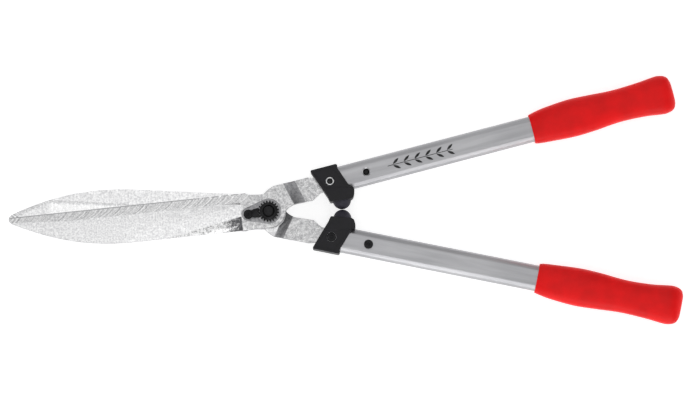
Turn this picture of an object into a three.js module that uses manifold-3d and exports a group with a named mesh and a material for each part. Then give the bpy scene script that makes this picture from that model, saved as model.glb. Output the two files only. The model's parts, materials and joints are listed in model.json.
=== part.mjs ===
// Hedge shears: two forged steel blades on one adjustable pivot, each bolted by its tang into an
// aluminium tube handle with a plastic collar, a rubber buffer and a soft grip.
// Millimetres and degrees. +X runs from the pivot to the handles, +Y to the right hand's handle and
// +Z up through the pivot, with the origin on the underside of the pivot bolt's head.
// Both halves are the same assembly: the left one is the right one turned half a turn about X.
import * as THREE from "three";
import { mergeVertices } from "three/addons/utils/BufferGeometryUtils.js";
import Module from "manifold-3d";

const FIT = 0.3; // gap between pieces that touch on the real tool
const RUNNING = 0.1; // radial play on the pivot

// Blades. b runs along a blade towards the handles and n across it towards its cutting edge.
const BLADE_REACH = 244.8; // pivot axis to the tip
const BLADE_SLOPE = 4.3; // blade against the tool's centre line when shut
const EDGE_OFFSET = 19.6; // cutting edge from the pivot axis
const BOSS_RADIUS = 15.5; // hub round the pivot, and the back of the blade from the pivot axis
const LEAF_LENGTH = 120; // curved part of the back, behind the tip
const BLADE_THICKNESS = 4.0; // on the ridge
const BACK_THICKNESS = 3.4;
const TIP_THICKNESS = 1.7;
const EDGE_THICKNESS = 0.4;
const BEVEL_WIDTH = 8.8;
const BEVEL_HEIGHT = 2.7;
const RIDGE_OFFSET = 2; // ridge of the outer face, on the back's side of the pivot axis
const HOLLOW_DEPTH = 0.4; // hollow grind of the inner face
const HOLLOW_WIDTH = 16;
const HOLLOW_FROM_TIP = 38;
const NOTCH_COUNT = 5;
const NOTCH_PITCH = 9.2;
const NOTCH_WIDTH = 3.4;
const NOTCH_DEPTH = 1.3;
const HEEL = 16.5; // end of the bevel, before the pivot

// Hub, with the pocket for the adjusting nut and its lock
const HUB_THICKNESS = 5.8;
const HUB_FRONT = 25; // front of the raised hub, before the pivot
const RAMP_LENGTH = 17;
const RISE_LENGTH = 80; // stretch over which the ridge rises to the height of the hub
const RISE_SHOULDER = 2.4; // width of its slope down to the bevel
const POCKET_DEPTH = 2.2;
const LOCK_LENGTH = 9.2; // lock screw from the tips of the nut's teeth
const LOCK_LEAN = 7; // lock below the tool's centre line
const LOCK_HALF_WIDTH = 4.4;
const LOCK_BITE = 1.2; // reach of the lock's teeth between the nut's
const POCKET_MARGIN = 1.9; // pocket wall round the nut and the lock

// Pivot
const PIVOT_RADIUS = 6;
const PIVOT_FLATS = 10.4; // across the flats that turn the bolt with the upper blade
const THREAD_RADIUS = 5;
const HEAD_FLATS = 17;
const HEAD_HEIGHT = 5.4;
const WASHER_THICKNESS = 0.8;
const NUT_TEETH = 20;
const NUT_TIP_RADIUS = 10;
const NUT_ROOT_RADIUS = 8.3;
const NUT_HEIGHT = 4.8;
const LOCK_HEIGHT = 3.2;
const LOCK_SCREW_RADIUS = 2;
const LOCK_HEAD_RADIUS = 3.4;
const LOCK_HEAD_HEIGHT = 1.9;

// Tube handles. s runs along a handle from beside the pivot and t across it, away from the other.
const HANDLE_ANGLE = 13;
const HANDLE_REACH = 396.4; // pivot to the end of the grip
const TUBE_WIDTH = 24.3;
const TUBE_HEIGHT = 15;
const TUBE_WALL = 1.6;
const TUBE_FLAT = 14; // width of its two flat faces
const TUBE_SIDE = 7.4; // height of its two upright sides
const FLAT_CORNER = 1.2; // rounding between a flat face and a shoulder
const SIDE_CORNER = 3.4; // rounding between a shoulder and an upright side

// Tangs, and the packers that hold them in the tubes
const TANG_THICKNESS = 5;
const JOGGLE_ANGLE = 26;
const INNER_RAMP = [14.4, 23]; // start and end of the step towards the other blade
const OUTER_RAMP = [24, 35];
const PACKER_WALL = 2.2;
const TAIL_BEYOND_BOLT = 8;

// Collars and buffers
const COLLAR_SLANT = 19.5;
const COLLAR_FRONT = 52.1;
const COLLAR_LENGTH = 24.1;
const COLLAR_WALL = 1.9;
const COLLAR_BEAD = 1.3;
const BUFFER_SETBACK = 16.9; // buffer's middle behind the front of the collar
const BUFFER_RADIUS = 8.5;
const BUFFER_LENGTH = 11.4;
const BUFFER_TRAVEL = 1.5;
const LUG_WALL = 2.4;
const LUG_BOTTOM = 6.7;

// Handle bolts
const BOLT_EDGE = 4.4; // front bolt from the end of the tube
const BOLT_PITCH = 35.3;
const BOLT_RADIUS = 2.5;
const BOLT_HEAD_RADIUS = 4.25;
const BOLT_HEAD_HEIGHT = 2.2;
const SLEEVE_RADIUS = 3.2;
const SLEEVE_FLANGE = 3.75;
const SIGHT_HOLE = 3.1; // hole over the rear nut

// Grips: how far they stand proud of the tube, at stations along their length
const GRIP_LENGTH = 137.4;
const GRIP_END_WALL = 6;
const GRIP_SECTION_POWER = 2.5;
const GRIP_STATIONS = [
  { at: 0, outer: 1.5, inner: 1.7, height: 1.9 },
  { at: 0.025, outer: 2.4, inner: 2.6, height: 2.6 },
  { at: 0.1, outer: 4.3, inner: 3.5, height: 3.9 },
  { at: 0.28, outer: 6.3, inner: 5, height: 4.8 },
  { at: 0.42, outer: 5.6, inner: 4.4, height: 4.6 },
  { at: 0.6, outer: 4.2, inner: 2.5, height: 3.9 },
  { at: 0.78, outer: 5.1, inner: 3.4, height: 4.1 },
  { at: 0.91, outer: 6.6, inner: 5.8, height: 4.6 },
  { at: 0.965, outer: 5, inner: 4.8, height: 3.3 },
  { at: 1, outer: -1.5, inner: -1.5, height: -1.5 },
];

// Derived sizes
const CLEAR = FIT / 2; // half of the gap between the blades
const HUB_TOP = CLEAR + HUB_THICKNESS;
const POCKET_FLOOR = HUB_TOP - POCKET_DEPTH;
const CONTACT_HEIGHT = HUB_TOP + 2 * RUNNING + WASHER_THICKNESS + HEAD_HEIGHT;
const RAMP_FRONT = -HUB_FRONT - RAMP_LENGTH;
const HANDLE_OFFSET = TUBE_WIDTH / 2 + FIT;
const SLANT = Math.tan(THREE.MathUtils.degToRad(COLLAR_SLANT));
const TUBE_START = COLLAR_FRONT + SLANT * (TUBE_WIDTH / 2) + COLLAR_WALL;
const TUBE_END = HANDLE_REACH - GRIP_END_WALL;
const FRONT_BOLT = TUBE_START + BOLT_EDGE;
const REAR_BOLT = FRONT_BOLT + BOLT_PITCH;
const TAIL_END = REAR_BOLT + TAIL_BEYOND_BOLT;
const TAIL_HALF = TUBE_WIDTH / 2 - TUBE_WALL - 2 * FIT - PACKER_WALL;
const TANG_HALF_THICKNESS = TANG_THICKNESS / 2;
const COLLAR_REAR = COLLAR_FRONT + COLLAR_LENGTH;
const COLLAR_FACE = TUBE_HEIGHT / 2 + FIT + COLLAR_WALL;
const COLLAR_TOP = TUBE_WIDTH / 2 + FIT + COLLAR_WALL;
const BUFFER_X = COLLAR_FRONT + BUFFER_SETBACK;
const LOCK_REACH = NUT_TIP_RADIUS + LOCK_LENGTH;
const BOLT_HOLE = BOLT_RADIUS + FIT;
const ROUND_STEPS = 24;
const TALL = 60; // taller than anything that is cut

const STEEL = { color: 0xd4d4d4, roughness: 0.35, metalness: 1 };
const BLACK_STEEL = { color: 0x1c1c1e, roughness: 0.5, metalness: 0.8 };
const ZINC = { color: 0xc4c6c8, roughness: 0.35, metalness: 1 };
const ALUMINIUM = { color: 0xb2b2b6, roughness: 0.4, metalness: 1 };
const BLACK_PLASTIC = { color: 0x26252a, roughness: 0.6, metalness: 0 };
const RUBBER = { color: 0x2e2d36, roughness: 0.8, metalness: 0 };
const RED_GRIP = { color: 0xd71a1e, roughness: 0.5, metalness: 0 };

const wasm = await Module();
wasm.setup();

function solidOf(geometry) {
  const bare = geometry.clone();
  bare.deleteAttribute("normal");
  bare.deleteAttribute("uv");
  const merged = mergeVertices(bare, 1e-4);
  const vertProperties = merged.attributes.position.array;
  const triVerts = new Uint32Array(merged.index.array);
  return new wasm.Manifold(new wasm.Mesh({ numProp: 3, vertProperties, triVerts }));
}

function geometryOf(solid) {
  const mesh = solid.getMesh();
  const geometry = new THREE.BufferGeometry();
  geometry.setAttribute("position", new THREE.BufferAttribute(mesh.vertProperties, 3));
  geometry.setIndex(new THREE.BufferAttribute(mesh.triVerts, 1));
  return geometry;
}

function meshOf(name, shape, finish) {
  const indexed = shape.isBufferGeometry ? shape : geometryOf(shape);
  const geometry = indexed.index ? indexed.toNonIndexed() : indexed;
  geometry.computeVertexNormals();
  const mesh = new THREE.Mesh(geometry, new THREE.MeshStandardMaterial(finish));
  mesh.name = name;
  return mesh;
}

const point = (x, y) => new THREE.Vector2(x, y);
const outline = (points) => new THREE.Shape(points.map(([x, y]) => point(x, y)));
const radians = THREE.MathUtils.degToRad;

// A prism standing on the XY plane between two heights
function prism(shape, low, high, curveSegments = 12) {
  const settings = { depth: high - low, bevelEnabled: false, curveSegments };
  return new THREE.ExtrudeGeometry(shape, settings).translate(0, 0, low);
}

// A side view in (along, up), widened by the same amount to both sides
function sideways(shape, halfWidth) {
  return prism(shape, -halfWidth, halfWidth).rotateX(Math.PI / 2);
}

// A cross-section in (across, up), carried along X between two stations
function lengthways(shape, from, to, curveSegments = 12) {
  const turn = new THREE.Matrix4().makeBasis(
    new THREE.Vector3(0, 1, 0),
    new THREE.Vector3(0, 0, 1),
    new THREE.Vector3(1, 0, 0),
  );
  return prism(shape, from, to, curveSegments).applyMatrix4(turn);
}

// A round pin or hole along Z
function round(radius, low, high, x = 0, y = 0, steps = ROUND_STEPS) {
  const pin = new THREE.CylinderGeometry(radius, radius, high - low, steps);
  return pin.rotateX(Math.PI / 2).translate(x, y, (low + high) / 2);
}

// A turned piece about Z from its profile of [radius, height]
function turned(profile, steps = ROUND_STEPS) {
  const points = profile.map(([r, z]) => point(r, z));
  return new THREE.LatheGeometry(points, steps).rotateX(Math.PI / 2);
}

const cut = (from, ...tools) => tools.reduce((body, tool) => body.subtract(solidOf(tool)), from);

// From a handle's own (s, t) to the half's (x, y)
const handleFrame = new THREE.Matrix4()
  .makeRotationZ(radians(HANDLE_ANGLE))
  .multiply(new THREE.Matrix4().makeTranslation(0, HANDLE_OFFSET, 0));
function onHalf(s, t) {
  const place = new THREE.Vector3(s, t, 0).applyMatrix4(handleFrame);
  return [place.x, place.y];
}
function onBlade(b, n) {
  const place = new THREE.Vector3(b, n, 0).applyAxisAngle(new THREE.Vector3(0, 0, 1), radians(BLADE_SLOPE));
  return [place.x, place.y];
}

// Outline of a whole forging in plan: blade, hub and tang
function forgingShape() {
  const shape = new THREE.Shape();
  const leafStart = LEAF_LENGTH - BLADE_REACH;
  const tip = -BLADE_REACH;
  shape.moveTo(...onBlade(-HEEL, BOSS_RADIUS + 1.4));
  shape.lineTo(...onBlade(-HEEL - 1, EDGE_OFFSET - 1.4));
  shape.lineTo(...onBlade(-HEEL - 4, EDGE_OFFSET));
  shape.lineTo(...onBlade(tip + 2.4, EDGE_OFFSET));
  shape.quadraticCurveTo(...onBlade(tip - 0.8, EDGE_OFFSET - 2.6), ...onBlade(tip + 3.8, EDGE_OFFSET - 6.1));
  shape.bezierCurveTo(
    ...onBlade(tip + LEAF_LENGTH * 0.33, EDGE_OFFSET - 24.8),
    ...onBlade(leafStart - LEAF_LENGTH * 0.39, -BOSS_RADIUS),
    ...onBlade(leafStart, -BOSS_RADIUS),
  );
  const arcStart = radians(BLADE_SLOPE - 90);
  shape.absarc(0, 0, BOSS_RADIUS, arcStart, radians(-8), false);
  const crotch = onHalf(25.5, -TUBE_WIDTH / 2);
  shape.quadraticCurveTo(BOSS_RADIUS + 1.8, 3.4, ...crotch);
  const step = TUBE_WIDTH / 2 - TAIL_HALF;
  const edgeAt = (t) => COLLAR_FRONT - SLANT * t - 3;
  shape.lineTo(...onHalf(edgeAt(-TAIL_HALF) - 2 * step, -TUBE_WIDTH / 2 - 0.6));
  shape.lineTo(...onHalf(edgeAt(-TAIL_HALF), -TAIL_HALF));
  shape.lineTo(...onHalf(TAIL_END, -TAIL_HALF));
  shape.lineTo(...onHalf(TAIL_END, TAIL_HALF));
  const shoulder = TUBE_WIDTH / 2 - 2.8;
  shape.lineTo(...onHalf(edgeAt(TAIL_HALF) + 1.6, TAIL_HALF));
  shape.lineTo(...onHalf(edgeAt(TAIL_HALF) - 3.4, shoulder));
  shape.lineTo(...onHalf(11, shoulder));
  shape.quadraticCurveTo(1.5, BOSS_RADIUS + 6.8, -4.6, BOSS_RADIUS + 0.6);
  return shape;
}

// Cross-section of the blade in (n, z): bevel, ridge and back
function bladeSection() {
  return outline([
    [-BOSS_RADIUS - 1, CLEAR],
    [EDGE_OFFSET + 1, CLEAR],
    [EDGE_OFFSET, CLEAR + EDGE_THICKNESS],
    [EDGE_OFFSET - BEVEL_WIDTH, CLEAR + BEVEL_HEIGHT],
    [-RIDGE_OFFSET, CLEAR + BLADE_THICKNESS],
    [-BOSS_RADIUS - 1, CLEAR + BACK_THICKNESS],
  ]);
}

// The blade gets thinner towards its tip, seen from the side in (b, z)
function taperShape() {
  const tip = -BLADE_REACH - 1;
  const full = -BLADE_REACH * 0.42;
  return outline([
    [tip, -1],
    [0, -1],
    [0, CLEAR + BLADE_THICKNESS + 0.1],
    [full, CLEAR + BLADE_THICKNESS + 0.1],
    [tip, CLEAR + TIP_THICKNESS],
  ]);
}

// Swelling of the blade's outer face: its ridge rises to meet the hub flush, its back stays low
function ridgeRise() {
  const bevelStart = EDGE_OFFSET - BEVEL_WIDTH;
  const back = -BOSS_RADIUS - 1;
  const rear = -HUB_FRONT + 1;
  const front = rear - RISE_LENGTH;
  const backTop = CLEAR + BACK_THICKNESS;
  const bevelTop = CLEAR + BEVEL_HEIGHT;
  const corners = [
    [front, back, CLEAR],
    [front, back, backTop - 0.2],
    [front, -RIDGE_OFFSET, CLEAR + BLADE_THICKNESS - 0.2],
    [front, bevelStart, bevelTop - 0.2],
    [front, bevelStart, CLEAR],
    [rear, back, CLEAR],
    [rear, back, backTop],
    [rear, -RIDGE_OFFSET, HUB_TOP],
    [rear, bevelStart - RISE_SHOULDER, HUB_TOP],
    [rear, bevelStart, bevelTop],
    [rear, bevelStart, CLEAR],
  ];
  return wasm.Manifold.hull(corners);
}

// Hollowed ramp from the blade up to the hub, in (b, z)
function rampShape() {
  const shape = new THREE.Shape();
  shape.moveTo(RAMP_FRONT, CLEAR);
  shape.lineTo(0, CLEAR);
  shape.lineTo(0, HUB_TOP);
  shape.lineTo(-HUB_FRONT, HUB_TOP);
  shape.quadraticCurveTo(-HUB_FRONT - 4, CLEAR + BACK_THICKNESS, RAMP_FRONT, CLEAR + BACK_THICKNESS - 0.4);
  return shape;
}

// Hub and tang from the side, along the line of the step: the tang steps to the middle of the tube
function tangSideShape() {
  const far = TAIL_END + HANDLE_OFFSET;
  return outline([
    [-TALL, CLEAR],
    [INNER_RAMP[0], CLEAR],
    [INNER_RAMP[1], -TANG_HALF_THICKNESS],
    [far, -TANG_HALF_THICKNESS],
    [far, TANG_HALF_THICKNESS],
    [OUTER_RAMP[1], TANG_HALF_THICKNESS],
    [OUTER_RAMP[0], HUB_TOP],
    [-TALL, HUB_TOP],
  ]);
}

// Plan of the full-thickness hub and everything behind it
function hubPlan() {
  const far = TAIL_END + HANDLE_OFFSET;
  return outline([
    onBlade(-HEEL, TALL),
    onBlade(-HEEL, EDGE_OFFSET - BEVEL_WIDTH + 1),
    onBlade(-HUB_FRONT - 1, 4),
    onBlade(-HUB_FRONT, -TALL),
    [far, -TALL],
    [far, 2 * TALL],
  ]);
}

// Long shallow hollow of the inner face, a slice of a wide cylinder, in (n, z)
function hollowTool() {
  const radius = (HOLLOW_WIDTH ** 2 / 4 + HOLLOW_DEPTH ** 2) / (2 * HOLLOW_DEPTH);
  const half = Math.asin(HOLLOW_WIDTH / 2 / radius);
  const centre = EDGE_OFFSET - 3.5 - HOLLOW_WIDTH / 2;
  const shape = new THREE.Shape();
  shape.moveTo(centre - HOLLOW_WIDTH / 2, CLEAR - 1);
  shape.lineTo(centre + HOLLOW_WIDTH / 2, CLEAR - 1);
  const low = CLEAR + HOLLOW_DEPTH - radius;
  shape.absarc(centre, low, radius, Math.PI / 2 - half, Math.PI / 2 + half, false);
  const tool = lengthways(shape, HOLLOW_FROM_TIP - BLADE_REACH, RAMP_FRONT - 6, 6);
  return tool.rotateZ(radians(BLADE_SLOPE));
}

function notchTools() {
  const tools = [];
  for (let i = 0; i < NOTCH_COUNT; i += 1) {
    const b = -HEEL - NOTCH_PITCH * (i + 1);
    const low = EDGE_OFFSET - NOTCH_DEPTH;
    const notch = outline([
      [b - NOTCH_WIDTH / 2, EDGE_OFFSET + 1],
      [b - NOTCH_WIDTH / 4, low],
      [b + NOTCH_WIDTH / 4, low],
      [b + NOTCH_WIDTH / 2, EDGE_OFFSET + 1],
    ]);
    tools.push(prism(notch, -TALL, TALL).rotateZ(radians(BLADE_SLOPE)));
  }
  return tools;
}

// Everything that belongs to the lock lies on one line, a little below the centre line
const onLockLine = (geometry) => geometry.rotateZ(radians(LOCK_LEAN));

// Rounded slot from the pivot towards the lock screw: two circles and their tangents
function keyholeShape(bigRadius, smallRadius) {
  const lean = Math.acos((bigRadius - smallRadius) / LOCK_REACH);
  const shape = new THREE.Shape();
  shape.absarc(0, 0, bigRadius, -Math.PI + lean, Math.PI - lean, false);
  shape.absarc(-LOCK_REACH, 0, smallRadius, Math.PI - lean, Math.PI + lean, false);
  return shape;
}

// One forging with what both blades have
function forging() {
  const plan = solidOf(prism(forgingShape(), -TALL, TALL));
  const strip = solidOf(lengthways(bladeSection(), -BLADE_REACH - 1, 0)).intersect(
    solidOf(sideways(taperShape(), TALL)),
  );
  const belowBevel = prism(
    outline([
      [-BLADE_REACH, -TALL],
      [0, -TALL],
      [0, EDGE_OFFSET - BEVEL_WIDTH],
      [-BLADE_REACH, EDGE_OFFSET - BEVEL_WIDTH],
    ]),
    -TALL,
    TALL,
  );
  const ramp = solidOf(sideways(rampShape(), TALL)).intersect(solidOf(belowBevel));
  const leaf = strip.add(ridgeRise()).add(ramp);
  const blade = geometryOf(leaf).rotateZ(radians(BLADE_SLOPE));
  const tang = solidOf(sideways(tangSideShape(), 4 * TALL).rotateZ(radians(JOGGLE_ANGLE)));
  const hub = tang.intersect(solidOf(prism(hubPlan(), -TALL, TALL)));
  const body = plan.intersect(solidOf(blade).add(hub));
  const bolts = [FRONT_BOLT, REAR_BOLT].map((s) => {
    return round(BOLT_HOLE, -TALL, TALL, s).applyMatrix4(handleFrame);
  });
  const bearing = round(BOSS_RADIUS + 1, -TALL, CLEAR, 0, 0, 64);
  return cut(body, bearing, hollowTool(), ...notchTools(), ...bolts);
}

function topBlade() {
  const flats = outline([
    [-PIVOT_RADIUS * 2, -PIVOT_FLATS / 2 - RUNNING],
    [PIVOT_RADIUS * 2, -PIVOT_FLATS / 2 - RUNNING],
    [PIVOT_RADIUS * 2, PIVOT_FLATS / 2 + RUNNING],
    [-PIVOT_RADIUS * 2, PIVOT_FLATS / 2 + RUNNING],
  ]);
  const hole = solidOf(round(PIVOT_RADIUS + RUNNING, -TALL, TALL, 0, 0, 48)).intersect(
    solidOf(prism(flats, -TALL, TALL)),
  );
  const pocket = keyholeShape(NUT_TIP_RADIUS + POCKET_MARGIN, LOCK_HALF_WIDTH + POCKET_MARGIN);
  const thread = round(LOCK_SCREW_RADIUS + FIT, CLEAR + 0.7, TALL, -LOCK_REACH);
  const seat = [prism(pocket, POCKET_FLOOR, TALL, 16), thread].map(onLockLine);
  return cut(forging().subtract(hole), ...seat);
}

function bottomBlade() {
  return cut(forging(), round(PIVOT_RADIUS + RUNNING, -TALL, TALL, 0, 0, 48));
}

// Pivot bolt: hexagon head under the lower blade, flats in the upper one, thread for the nut
function pivotBolt() {
  const headTop = -HUB_TOP - 2 * RUNNING - WASHER_THICKNESS;
  const corner = HEAD_FLATS / 2 / Math.cos(Math.PI / 6);
  const hexagon = solidOf(round(corner, headTop - HEAD_HEIGHT, headTop, 0, 0, 6));
  const chamfer = corner - HEAD_FLATS / 2;
  const dome = turned([
    [0, headTop - HEAD_HEIGHT],
    [HEAD_FLATS / 2, headTop - HEAD_HEIGHT],
    [corner + 0.1, headTop - HEAD_HEIGHT + chamfer * 0.6],
    [corner + 0.1, headTop],
    [0, headTop],
  ]);
  const end = POCKET_FLOOR + RUNNING + NUT_HEIGHT + 0.8;
  const shank = round(PIVOT_RADIUS, headTop - 1, POCKET_FLOOR, 0, 0, 48);
  const threaded = round(THREAD_RADIUS, headTop - 1, end);
  const neck = outline([
    [-PIVOT_RADIUS * 2, -PIVOT_FLATS / 2],
    [PIVOT_RADIUS * 2, -PIVOT_FLATS / 2],
    [PIVOT_RADIUS * 2, PIVOT_FLATS / 2],
    [-PIVOT_RADIUS * 2, PIVOT_FLATS / 2],
  ]);
  const lower = solidOf(shank).subtract(solidOf(round(TALL, CLEAR - RUNNING, TALL)));
  const upper = solidOf(shank).intersect(solidOf(prism(neck, -TALL, TALL)));
  return hexagon.intersect(solidOf(dome)).add(lower).add(upper).add(solidOf(threaded));
}

function washer() {
  const top = -HUB_TOP - RUNNING;
  const hole = PIVOT_RADIUS + RUNNING;
  return turned([
    [hole, top - WASHER_THICKNESS],
    [HEAD_FLATS / 2 + 1, top - WASHER_THICKNESS],
    [HEAD_FLATS / 2 + 1, top],
    [hole, top],
    [hole, top - WASHER_THICKNESS],
  ], 48);
}

// Toothed rim in plan, grown by the gap that a mating piece needs
function toothShape(grow) {
  const points = [];
  for (let i = 0; i < NUT_TEETH; i += 1) {
    const corners = [
      [-0.3, NUT_ROOT_RADIUS],
      [-0.14, NUT_TIP_RADIUS],
      [0.14, NUT_TIP_RADIUS],
      [0.3, NUT_ROOT_RADIUS],
    ];
    corners.forEach(([share, radius]) => {
      const spread = share + (Math.sign(share) * grow * 0.9 * NUT_TEETH) / (2 * Math.PI * radius);
      const angle = ((i + 0.5 + spread) * 2 * Math.PI) / NUT_TEETH;
      points.push([(radius + grow) * Math.cos(angle), (radius + grow) * Math.sin(angle)]);
    });
  }
  return outline(points);
}

// Adjusting nut: a toothed rim under a chamfered hub
function adjustingNut() {
  const low = POCKET_FLOOR + RUNNING;
  const high = low + NUT_HEIGHT;
  const blank = turned([
    [0, low],
    [NUT_TIP_RADIUS + 0.1, low],
    [NUT_TIP_RADIUS + 0.1, high - 1.2],
    [NUT_ROOT_RADIUS, high - 0.5],
    [NUT_ROOT_RADIUS - 1, high],
    [0, high],
  ]);
  const rim = solidOf(prism(toothShape(0), low, high)).intersect(solidOf(blank));
  return cut(rim, round(THREAD_RADIUS + FIT, -TALL, TALL));
}

// Lock: a small plate whose toothed end holds the nut where it was set
function lockPlate() {
  const low = POCKET_FLOOR + FIT;
  const shape = new THREE.Shape();
  const waist = LOCK_HALF_WIDTH - 0.4;
  shape.absarc(-LOCK_REACH, 0, LOCK_HALF_WIDTH, Math.PI / 4, (7 * Math.PI) / 4, false);
  shape.lineTo(-LOCK_REACH + LOCK_HALF_WIDTH + 1, -waist);
  shape.lineTo(LOCK_BITE - NUT_TIP_RADIUS, -LOCK_HALF_WIDTH);
  shape.lineTo(LOCK_BITE - NUT_TIP_RADIUS, LOCK_HALF_WIDTH);
  shape.lineTo(-LOCK_REACH + LOCK_HALF_WIDTH + 1, waist);
  const plate = onLockLine(prism(shape, low, low + LOCK_HEIGHT));
  const hole = onLockLine(round(LOCK_SCREW_RADIUS + FIT, -TALL, TALL, -LOCK_REACH, 0, 24));
  return cut(solidOf(plate), prism(toothShape(FIT), -TALL, TALL), hole);
}

function hexSocket(radius, low, high) {
  return round(radius, low, high, 0, 0, 6);
}

function lockScrew() {
  const seat = POCKET_FLOOR + 2 * FIT + LOCK_HEIGHT;
  const top = seat + LOCK_HEAD_HEIGHT;
  const body = turned([
    [0, CLEAR + 1],
    [LOCK_SCREW_RADIUS, CLEAR + 1],
    [LOCK_SCREW_RADIUS, seat],
    [LOCK_HEAD_RADIUS, seat],
    [LOCK_HEAD_RADIUS, top - 0.4],
    [LOCK_HEAD_RADIUS - 0.4, top],
    [0, top],
  ]);
  const socket = hexSocket(1.6, top - 1.1, TALL);
  return onLockLine(geometryOf(cut(solidOf(body), socket)).translate(-LOCK_REACH, 0, 0));
}

// Tube section: two flats, two upright sides and sloping shoulders with rounded corners
function tubeShape(grow) {
  const half = TUBE_WIDTH / 2 + grow;
  const high = TUBE_HEIGHT / 2 + grow;
  const lean = grow * 0.45;
  const sideReach = Math.min(Math.max(SIDE_CORNER + grow, 0.3), (TUBE_SIDE / 2 + lean) * 0.95);
  const flatReach = Math.max(FLAT_CORNER + grow, 0.3);
  const corners = [
    [half, -TUBE_SIDE / 2 - lean],
    [half, TUBE_SIDE / 2 + lean],
    [TUBE_FLAT / 2 + lean, high],
    [-TUBE_FLAT / 2 - lean, high],
    [-half, TUBE_SIDE / 2 + lean],
    [-half, -TUBE_SIDE / 2 - lean],
    [-TUBE_FLAT / 2 - lean, -high],
    [TUBE_FLAT / 2 + lean, -high],
  ].map(([x, y]) => point(x, y));
  const shape = new THREE.Shape();
  corners.forEach((corner, i) => {
    const before = corners[(i + corners.length - 1) % corners.length];
    const after = corners[(i + 1) % corners.length];
    const reach = Math.abs(corner.x) === half ? sideReach : flatReach;
    const start = corner.clone().add(before.clone().sub(corner).setLength(reach));
    const end = corner.clone().add(after.clone().sub(corner).setLength(reach));
    if (i === 0) shape.moveTo(start.x, start.y);
    else shape.lineTo(start.x, start.y);
    shape.quadraticCurveTo(corner.x, corner.y, end.x, end.y);
  });
  return shape;
}

const CORNER_STEPS = 4;

function tube() {
  const outside = solidOf(lengthways(tubeShape(0), TUBE_START, TUBE_END, CORNER_STEPS));
  const inside = lengthways(tubeShape(-TUBE_WALL), TUBE_START - 1, TUBE_END + 1, CORNER_STEPS);
  const rim = TUBE_HEIGHT / 2;
  const sight = turned([
    [0, 0],
    [SIGHT_HOLE, 0],
    [SIGHT_HOLE, rim - 0.7],
    [SIGHT_HOLE + 1.4, rim + 0.2],
    [0, rim + 0.2],
  ]).translate(REAR_BOLT, 0, 0);
  return cut(
    outside,
    inside,
    round(BOLT_HOLE, -TALL, 0, REAR_BOLT),
    sight,
    round(BOLT_HOLE, -TALL, 0, FRONT_BOLT),
    round(SLEEVE_RADIUS + FIT, 0, TALL, FRONT_BOLT),
  );
}

// Packer: a plastic sleeve that fills the tube round the tang's tail
function packer() {
  const from = TUBE_START + FIT;
  const to = TAIL_END + PACKER_WALL;
  const body = solidOf(lengthways(tubeShape(-TUBE_WALL - FIT), from, to, CORNER_STEPS));
  const half = TAIL_HALF + FIT;
  const high = TANG_HALF_THICKNESS + FIT;
  const slot = outline([
    [-half, -high],
    [half, -high],
    [half, high],
    [-half, high],
  ]);
  return cut(
    body,
    lengthways(slot, from - 1, to + 1),
    round(BOLT_HOLE, -TALL, 0, FRONT_BOLT),
    round(BOLT_HOLE, -TALL, 0, REAR_BOLT),
    round(SLEEVE_RADIUS + FIT, 0, TALL, FRONT_BOLT),
    round(SLEEVE_RADIUS + FIT, 0, TALL, REAR_BOLT),
  );
}

// Socket screw with its head on the tube's lower face
function handleScrew(s, end) {
  const seat = -TUBE_HEIGHT / 2 - RUNNING;
  const low = seat - BOLT_HEAD_HEIGHT;
  const body = turned([
    [0, low],
    [BOLT_HEAD_RADIUS - 0.4, low],
    [BOLT_HEAD_RADIUS, low + 0.4],
    [BOLT_HEAD_RADIUS, seat],
    [BOLT_RADIUS, seat],
    [BOLT_RADIUS, end],
    [0, end],
  ]);
  return geometryOf(cut(solidOf(body), hexSocket(2, -TALL, low + 1.4))).translate(s, 0, 0);
}

// Sleeve nut in the collar, over the front screw
function frontNut() {
  const seat = TUBE_HEIGHT / 2 + RUNNING;
  const bore = BOLT_RADIUS + 0.15;
  const low = TANG_HALF_THICKNESS + FIT;
  return turned([
    [bore, low],
    [SLEEVE_RADIUS, low],
    [SLEEVE_RADIUS, seat],
    [SLEEVE_FLANGE, seat],
    [SLEEVE_FLANGE, COLLAR_FACE],
    [bore, COLLAR_FACE],
    [bore, low],
  ]).translate(FRONT_BOLT, 0, 0);
}

// Nut inside the tube, under the sight hole
function rearNut() {
  const low = TANG_HALF_THICKNESS + FIT;
  const high = TUBE_HEIGHT / 2 - TUBE_WALL - FIT;
  const bore = BOLT_RADIUS + 0.15;
  return turned([
    [bore, low],
    [SLEEVE_RADIUS, low],
    [SLEEVE_RADIUS, high],
    [bore, high],
    [bore, low],
  ]).translate(REAR_BOLT, 0, 0);
}

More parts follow.
